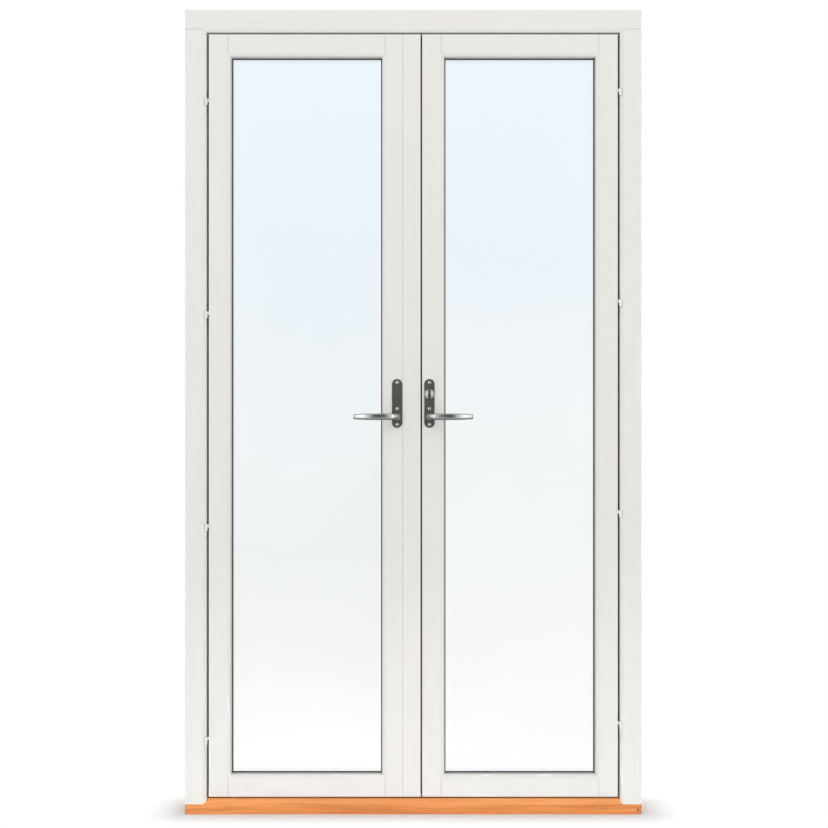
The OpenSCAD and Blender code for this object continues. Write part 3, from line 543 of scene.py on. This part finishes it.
def ease_edges(node):
    weld = node.modifiers.new("join_triangles", "WELD")
    weld.merge_threshold = weld_reach
    flats = node.modifiers.new("whole_faces", "DECIMATE")
    flats.decimate_type = "DISSOLVE"
    flats.angle_limit = flat_turn
    bevel = node.modifiers.new("eased_edges", "BEVEL")
    bevel.width = eased_width
    bevel.segments = 2
    bevel.limit_method = "ANGLE"
    bevel.angle_limit = sharp_turn
    bevel.use_clamp_overlap = False
    bevel.loop_slide = False
    shading = node.modifiers.new("flat_shading", "WEIGHTED_NORMAL")
    shading.mode = "FACE_AREA"
    shading.weight = 100


wooden = [n for n, s in slot_of_node.items() if s in ("white_paint", "oiled_wood")]
for name in wooden:
    ease_edges(nodes[name])
print("eased:", len(wooden))

# %% [markdown]
# ## The levers
# A lever handle is cast and then polished by hand, so it has no flat facets at all. The solid is made of
# many small flat faces. A new lever could be drawn from nothing, but it would stray from the solid, so we
# take a copy of it, merge its corners, pair its triangles into quads and let a Subdivision Surface round it
# off. Edges that turn sharply, such as the rim of the neck, are creased, so that they stay where they are.
# The "rise" that the painted shade of the levers reads is the Z of each normal.


# %% From a bmesh to a piece
def as_piece(mesh, name, material):
    data = bpy.data.meshes.new(name)
    mesh.to_mesh(data)
    mesh.free()
    data.materials.append(material)
    piece = bpy.data.objects.new(name, data)
    bpy.context.scene.collection.objects.link(piece)
    return piece


def smooth_with_creases(mesh, sharp):
    crease = mesh.edges.layers.float.new("crease_edge")
    for edge in mesh.edges:
        if edge.calc_face_angle(0.0) > sharp:
            edge[crease] = 1.0
            edge.smooth = False
    for face in mesh.faces:
        face.smooth = True


print("helpers for pieces ready")

# %% Polished levers
corner_reach = 0.00002
rim_turn = math.radians(45.0)


def polished_lever(side):
    mesh = bmesh.new()
    mesh.from_mesh(nodes[side + "_lever"].data)
    bmesh.ops.remove_doubles(mesh, verts=mesh.verts, dist=corner_reach)
    bmesh.ops.join_triangles(
        mesh,
        faces=mesh.faces,
        angle_face_threshold=math.radians(30.0),
        angle_shape_threshold=math.radians(70.0),
    )
    smooth_with_creases(mesh, rim_turn)
    mesh.normal_update()
    rise = mesh.verts.layers.float.new("rise")
    for vert in mesh.verts:
        vert[rise] = vert.normal.z
    lever = as_piece(mesh, side + "_polished_lever", lever_steel)
    rounding = lever.modifiers.new("rounding", "SUBSURF")
    rounding.levels = rounding.render_levels = 2
    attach(lever, side + "_handle")
    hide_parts(side + "_lever")
    return lever


for side in ("passive", "active"):
    lever = polished_lever(side)
    print(lever.name, "faces:", len(lever.data.polygons))

# %% [markdown]
# ## Screws in the hinge wings
# With a leaf open, the wings of its hinges show, and each is held by three countersunk screws. One head
# is a low turned disc with a bevelled rim and a slot. Heads could be copied objects, but the place of a
# finished piece belongs in its mesh, so each head is drawn into the mesh of its row of hinges and moved
# there. Two cuts mark the slot, and an inset sinks it. Each slot is turned a little further, because no
# fitter lines them up.

# %% One screw head
head_r = 0.0032
head_h = 0.0004
rim_share = 0.86
slot_half = 0.0004
slot_wall = 0.00005
slot_share = 0.6


def parts_of(faces):
    return faces + list({e for f in faces for e in f.edges}) + list({v for f in faces for v in f.verts})


def add_screw_head(mesh, place, turn):
    disc = bmesh.ops.create_cone(
        mesh, cap_ends=True, segments=24, radius1=head_r, radius2=head_r * rim_share, depth=head_h
    )["verts"]
    bmesh.ops.translate(mesh, verts=disc, vec=(0, 0, head_h / 2))
    faces = list({f for v in disc for f in v.link_faces})
    for offset in (-slot_half, slot_half):
        cut = bmesh.ops.bisect_plane(
            mesh, geom=parts_of(faces), plane_co=(offset, 0, 0), plane_no=(1, 0, 0)
        )
        faces = [part for part in cut["geom"] if isinstance(part, bmesh.types.BMFace)]
    tops = [f for f in faces if f.normal.z > 0.9]
    strip = [f for f in tops if abs(f.calc_center_median().x) < slot_half * 0.5]
    sunk = bmesh.ops.inset_region(
        mesh, faces=strip, thickness=slot_wall, depth=-head_h * slot_share
    )["faces"]
    verts = list({v for f in faces + sunk + strip for v in f.verts})
    bmesh.ops.rotate(mesh, verts=verts, cent=(0, 0, 0), matrix=turn)
    bmesh.ops.translate(mesh, verts=verts, vec=place)


print("screw head in mm:", head_r * 2000, "by", head_h * 1000)

# %% Hinge screws
wing_depth = 0.030
screw_rows = ((-0.017, 0.009), (0.0, 0.021), (0.017, 0.009))
turn_per_hinge = 0.7
turn_per_metre = 40.0
hinges = range(4)
left_lowest, left_step = 0.190, 0.551
right_lowest, right_step = 0.231, 0.546
left_heights = [left_lowest + left_step * i for i in hinges]
right_heights = [right_lowest + right_step * i for i in hinges]
jamb_face_x = 0.535
leaf_edge_x = 0.530


def hinge_screws(name, body, wings, heights, face_x, outward):
    mesh = bmesh.new()
    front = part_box(wings)[1].y - wing_depth
    for count, z in enumerate(heights):
        for rise, back in screw_rows:
            spin = Matrix.Rotation(turn_per_hinge * count + turn_per_metre * rise, 3, "Z")
            turn = Matrix.Rotation(math.radians(90.0 * outward), 3, "Y") @ spin
            add_screw_head(mesh, Vector((face_x, front + back, z + rise)), turn)
    screws = as_piece(mesh, name, hinge_steel)
    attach(screws, body)
    print(screws.name, "faces:", len(screws.data.polygons))


for name, body, wings, heights, face_x, outward in (
    ("jamb_hinge_screws_left", "frame", "hinge_wings_frame_left", left_heights, -jamb_face_x, 1),
    ("jamb_hinge_screws_right", "frame", "hinge_wings_frame_right", right_heights, jamb_face_x, -1),
    ("passive_hinge_screws", "passive_leaf", "passive_hinge_wings", left_heights, -leaf_edge_x, -1),
    ("active_hinge_screws", "active_leaf", "active_hinge_wings", right_heights, leaf_edge_x, 1),
):
    hinge_screws(name, body, wings, heights, face_x, outward)

# %% [markdown]
# ## Hairlines at the joints
# Where a rail meets a stile, where the mullion meets the passive leaf and where the head meets a jamb, the
# paint film breaks and a fine line in shade shows. A line in the material would have to know every joint.
# The eased edges already leave a small groove there, so a dark strip about a millimetre wide, a painted
# shade for the shade in that groove, is laid in it. All the strips of a leaf are one piece: each starts as a
# unit cube that a matrix stretches and puts in place.

# %% Shade of a hairline
dark_joint_shade = (0.22, 0.205, 0.185, 1)
pale_joint_shade = (0.38, 0.36, 0.335, 1)
joint_shade, tree, shader, place = new_material("joint_painted_shade")
# Painted shade: the dark colour of the strips stands for the shade in the groove of each joint.
shade_drift = place_group(tree, tone_drift, {"Place": place, "Scale": 90.0, "Amount": 1.0})["Factor"]
feed(tree, blend_colours(tree, shade_drift, dark_joint_shade, pale_joint_shade), shader.inputs["Base Color"])
feed(tree, span(tree, shade_drift, 0.0, 1.0, 0.75, 0.9), shader.inputs["Roughness"])


def add_hairline(mesh, low, high):
    spot = Matrix.Translation((low + high) / 2) @ Matrix.Diagonal((*(high - low), 1.0))
    bmesh.ops.create_cube(mesh, size=1.0, matrix=spot)


print("hairline:", joint_shade.name)

# %% Joint lines of the leaves
half_line = 0.0004
groove_top = 0.00012
groove_foot = 0.0006
line_inset = 0.001
member_flat = 0.0495
leaf_low, leaf_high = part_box("active_hinge_stile")
meeting_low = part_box("active_meeting_stile")[0]
shoulders = (meeting_low.x + member_flat, leaf_high.x - member_flat)
rail_heights = ((leaf_low.z, leaf_low.z + member_flat), (leaf_high.z - member_flat, leaf_high.z))
mullion_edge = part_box("mullion")[0].x


def add_upright_line(mesh, x, foot, top):
    low = Vector((x - half_line, leaf_low.y + groove_top, foot))
    high = Vector((x + half_line, leaf_low.y + groove_foot, top))
    add_hairline(mesh, low, high)


for side, sign in (("passive", -1.0), ("active", 1.0)):
    mesh = bmesh.new()
    for x in shoulders:
        for foot, top in rail_heights:
            add_upright_line(mesh, sign * x, foot + line_inset, top)
    if side == "passive":
        add_upright_line(mesh, mullion_edge, leaf_low.z, leaf_high.z)
    lines = as_piece(mesh, side + "_joint_lines", joint_shade)
    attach(lines, side + "_leaf")
    print(lines.name, "at x", [round(sign * x, 4) for x in shoulders])

# %% Joint lines of the frame
jamb_flat = 0.047
frame_half_line = 0.0006
jamb_low, jamb_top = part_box("frame_jamb_right")
mesh = bmesh.new()
for sign in (-1.0, 1.0):
    ends = sorted((sign * (jamb_top.x - line_inset), sign * (jamb_top.x - jamb_flat)))
    low = Vector((ends[0], jamb_low.y + groove_top, jamb_top.z - frame_half_line))
    high = Vector((ends[1], jamb_low.y + groove_foot, jamb_top.z + frame_half_line))
    add_hairline(mesh, low, high)
lines = as_piece(mesh, "frame_joint_lines", joint_shade)
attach(lines, "frame")
print(lines.name, "at z", round(jamb_top.z, 4))

# %% [markdown]
# ## The fin in the meeting gap
# A firm seal can't close the gap between the leaves, because either leaf has to swing past the other. A
# thin fin of soft rubber on the mullion's seal does it: it reaches almost to the active leaf and shuts out
# the light. A stretched cube would be as thick at the tip as at the root,
# so we draw its wedge section as one face and extrude it to the height of the leaf.

# %% Meeting fin
root_overlap = 0.0005
tip_clearance = 0.0001
fin_half = 0.0007
tip_front = 0.0003
seal_low, seal_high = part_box("mullion_seal")
fin_root = seal_high.x - root_overlap
fin_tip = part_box("active_meeting_stile")[0].x - tip_clearance
fin_y = (seal_low.y + seal_high.y) / 2
section = [(fin_root, -fin_half), (fin_tip, tip_front), (fin_tip, fin_half), (fin_root, fin_half)]
mesh = bmesh.new()
corners = [mesh.verts.new((x, fin_y + y, leaf_low.z)) for x, y in section]
foot = mesh.faces.new(corners)
grown = bmesh.ops.extrude_face_region(mesh, geom=[foot])["geom"]
top = [v for v in grown if isinstance(v, bmesh.types.BMVert)]
bmesh.ops.translate(mesh, verts=top, vec=(0, 0, leaf_high.z - leaf_low.z))
bmesh.ops.recalc_face_normals(mesh, faces=mesh.faces)
fin = as_piece(mesh, "meeting_fin", seal_rubber)
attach(fin, "passive_leaf")
print(fin.name, "reach in mm:", round((fin_tip - fin_root) * 1000, 2))

# %% [markdown]
# ## Floor
# A product picture has a white ground. More light on a grey floor would make it white, but it would bleach
# the doors too. So the floor is a plain pale sheet that keeps the shadow of the doors and fades to white
# away from them. Light Path does the fading: only rays that the eye follows, directly, in a mirror or
# through glass, see the white; light that bounces off the floor sees the sheet.

# %% White that only the eye sees
white = (1, 1, 1, 1)


def seen_by_eye(tree):
    path = add_node(tree, "ShaderNodeLightPath").outputs
    direct = calc(tree, "MAXIMUM", path["Is Camera Ray"], path["Is Glossy Ray"])
    return calc(tree, "MAXIMUM", direct, path["Is Transmission Ray"])


def show_blend(tree, factor, plain, bright, output):
    joined = add_node(tree, "ShaderNodeMixShader", {0: factor, 1: plain, 2: bright})
    feed(tree, joined.outputs[0], tree.nodes[output].inputs["Surface"])


print("helpers for the white ground ready")

# %% Sheet of the floor
sheet_dark = (0.90, 0.90, 0.90, 1)
sheet_light = (0.93, 0.93, 0.93, 1)
foot_half_wide = 0.59
foot_half_deep = 0.0525
shadow_reach = 0.11
floor_white, tree, shader, place = new_material("pale_floor")
shader.inputs["Roughness"].default_value = 0.9
shader.inputs["Specular IOR Level"].default_value = 0.0
fibre = noise(tree, place, 40.0, detail=3.0)
feed(tree, blend_colours(tree, fibre, sheet_dark, sheet_light), shader.inputs["Base Color"])
axes = add_node(tree, "ShaderNodeSeparateXYZ", {"Vector": place}).outputs


def squared_past(axis, half):
    past = calc(tree, "SUBTRACT", calc(tree, "ABSOLUTE", axes[axis]), half)
    return calc(tree, "POWER", calc(tree, "MAXIMUM", past, 0.0), 2.0)


squares = calc(tree, "ADD", squared_past("X", foot_half_wide), squared_past("Y", foot_half_deep))
reach = calc(tree, "SQRT", squares)
fade = calc(tree, "MULTIPLY", span(tree, reach, 0.0, shadow_reach), seen_by_eye(tree))
glow = add_node(tree, "ShaderNodeEmission", {"Color": white, "Strength": 1.0}).outputs[0]
show_blend(tree, fade, shader.outputs[0], glow, "Material Output")
print("sheet:", floor_white.name)

# %% Floor
floor_half = 6.0
floor_z = -0.0002
mesh = bmesh.new()
bmesh.ops.create_grid(mesh, x_segments=1, y_segments=1, size=floor_half)
bmesh.ops.translate(mesh, verts=mesh.verts, vec=(0, 0, floor_z))
floor = as_piece(mesh, "floor", floor_white)
print(floor.name, "half width:", floor_half)

# %% [markdown]
# ## World
# The room round the doors is a white studio. A backdrop could be built of walls, but a world has no corners
# to show in the glass. It plays two parts: to the eye it is plain white, and as a lamp it is a soft grey
# that grows brighter towards the sky, so that the undersides of the mouldings stay a little darker.

# %% World
light_below, light_above = 0.33, 0.75
world = bpy.data.worlds.new("white_studio")
bpy.context.scene.world = world
world.use_nodes = True
tree = world.node_tree
look = add_node(tree, "ShaderNodeTexCoord").outputs["Generated"]
upward = add_node(tree, "ShaderNodeSeparateXYZ", {"Vector": look}).outputs["Z"]
room_light = tree.nodes["Background"]
room_light.inputs["Color"].default_value = white
feed(tree, span(tree, upward, -0.4, 0.9, light_below, light_above), room_light.inputs["Strength"])
backdrop = add_node(tree, "ShaderNodeBackground", {"Color": white, "Strength": 1.0})
show_blend(tree, seen_by_eye(tree), room_light.outputs[0], backdrop.outputs[0], "World Output")
print("world:", world.name)

# %% [markdown]
# ## Cards for the metal to mirror
# Polished metal shows its shape only by what it mirrors. In an all-white room a lever would turn white
# and vanish. A photographer hangs a grey card behind the camera and a white one at each side: the part
# of the lever that faces us then mirrors the grey, and where it bows away it catches the white. The glass
# mirrors the grey faintly too, which takes the panes just below paper white. A thinner card overhead
# draws the darker line along the top of each lever. All have soft edges and show only in reflections.

# %% Card material
card_grey = (0.10, 0.10, 0.10, 1)
card_weave = (0.115, 0.115, 0.115, 1)
soft_from = 0.4
soft_foot = 0.9


def card_material(name, middle_x, half_wide, glow, cover):
    material, tree, shader, place = new_material(name)
    axes = add_node(tree, "ShaderNodeSeparateXYZ", {"Vector": place}).outputs
    from_middle = calc(tree, "ABSOLUTE", calc(tree, "SUBTRACT", axes["X"], middle_x))
    sideways = span(tree, from_middle, half_wide * soft_from, half_wide, 1.0, 0.0)
    upward = span(tree, axes["Z"], 0.0, soft_foot, 0.0, cover)
    feed(tree, calc(tree, "MULTIPLY", sideways, upward), shader.inputs["Alpha"])
    weave = noise(tree, place, 60.0)
    feed(tree, blend_colours(tree, weave, card_grey, card_weave), shader.inputs["Base Color"])
    shader.inputs["Emission Color"].default_value = white
    shader.inputs["Emission Strength"].default_value = glow
    shader.inputs["Roughness"].default_value = 1.0
    shader.inputs["Specular IOR Level"].default_value = 0.0
    return material


print("card material ready")


# %% Cards
def hang_card(name, turn, place, half_wide, half_high, glow=0.0, cover=1.0):
    mesh = bmesh.new()
    bmesh.ops.create_grid(mesh, x_segments=1, y_segments=1, size=1.0)
    bmesh.ops.scale(mesh, verts=mesh.verts, vec=(half_wide, half_high, 1.0))
    bmesh.ops.rotate(mesh, verts=mesh.verts, cent=(0, 0, 0), matrix=turn)
    bmesh.ops.translate(mesh, verts=mesh.verts, vec=place)
    card = as_piece(mesh, name, card_material(name, place[0], half_wide, glow, cover))
    card.visible_camera = False
    card.visible_diffuse = False
    card.visible_transmission = False
    card.visible_shadow = False
    print(card.name, "at", place)


upright = Matrix.Rotation(math.radians(90.0), 3, "X")
flat = Matrix.Identity(3)
hang_card("grey_card", upright, (0, -6.0, 2.2), 2.0, 2.2)
hang_card("overhead_card", flat, (0, -2.6, 4.6), 2.4, 1.9, cover=0.25)
for name, x in (("left_white_card", -3.1), ("right_white_card", 3.1)):
    hang_card(name, upright, (x, -5.2, 1.4), 1.3, 1.8, glow=1.9)

# %% [markdown]
# ## Light
# The picture has the even light of a catalogue. A sun would draw hard shadows, so all lamps are broad: one
# from above and in front, and one at each side further back. They make the faint, wide shadows below the
# levers and the plates. Two weak strips lift the head and the bottom rails, where the broad lights fall off.
# The low one has a grid, which narrows its spread, so that it stands well away from an open leaf and still
# lights only the foot of the doors. A light behind keeps the weather side as clear as the room side. The
# power of each is set so that a colour renders about as it is written.


# %% Lamps
def soft_light(name, place, aim, width, height, power, spread=180.0):
    data = bpy.data.lights.new(name, "AREA")
    data.shape = "RECTANGLE"
    data.size = width
    data.size_y = height
    data.energy = power
    data.spread = math.radians(spread)
    lamp = bpy.data.objects.new(name, data)
    lamp.location = place
    lamp.rotation_euler = (Vector(aim) - Vector(place)).to_track_quat("-Z", "Y").to_euler()
    lamp.visible_camera = False
    lamp.visible_transmission = False
    lamp.visible_glossy = False
    bpy.context.scene.collection.objects.link(lamp)


soft_light("key_light", (0.0, -5.0, 3.8), (0, 0, 0.9), 4.4, 2.0, 54.0)
soft_light("high_light", (0.0, -1.0, 2.2), (0, 0, 2.05), 1.6, 0.2, 0.4)
soft_light("low_light", (0.0, -3.4, 0.15), (0, 0, -0.05), 1.8, 0.12, 1.05, spread=26.0)
soft_light("left_light", (-3.6, -6.5, 0.9), (0, 0, 0.8), 2.4, 3.2, 72.0)
soft_light("right_light", (3.6, -6.5, 0.9), (0, 0, 0.8), 2.4, 3.2, 72.0)
soft_light("back_light", (0.0, 5.5, 2.6), (0, 0, 1.0), 4.4, 2.6, 70.0)
print("lamps:", len(bpy.data.lights))

# %% [markdown]
# ## Camera
# The photograph was taken square on, from about the height of the handles, so the verticals and the
# levels stay true. A short lens close by would show more of the rebates than the photograph does. At 4.2
# metres a 70.6 mm lens takes in 2.14 metres at the room face. The Standard view shows colours as written.

# %% Camera
camera_data = bpy.data.cameras.new("camera")
camera_data.lens = 70.6
camera_data.sensor_width = 36.0
camera = bpy.data.objects.new("camera", camera_data)
camera.location = (0.0019, -4.2525, 1.035)
camera.rotation_euler = (math.radians(90.0), 0.0, 0.0)
bpy.context.scene.collection.objects.link(camera)
bpy.context.scene.camera = camera
bpy.context.scene.view_settings.view_transform = "Standard"
print("camera:", tuple(round(v, 3) for v in camera.location))
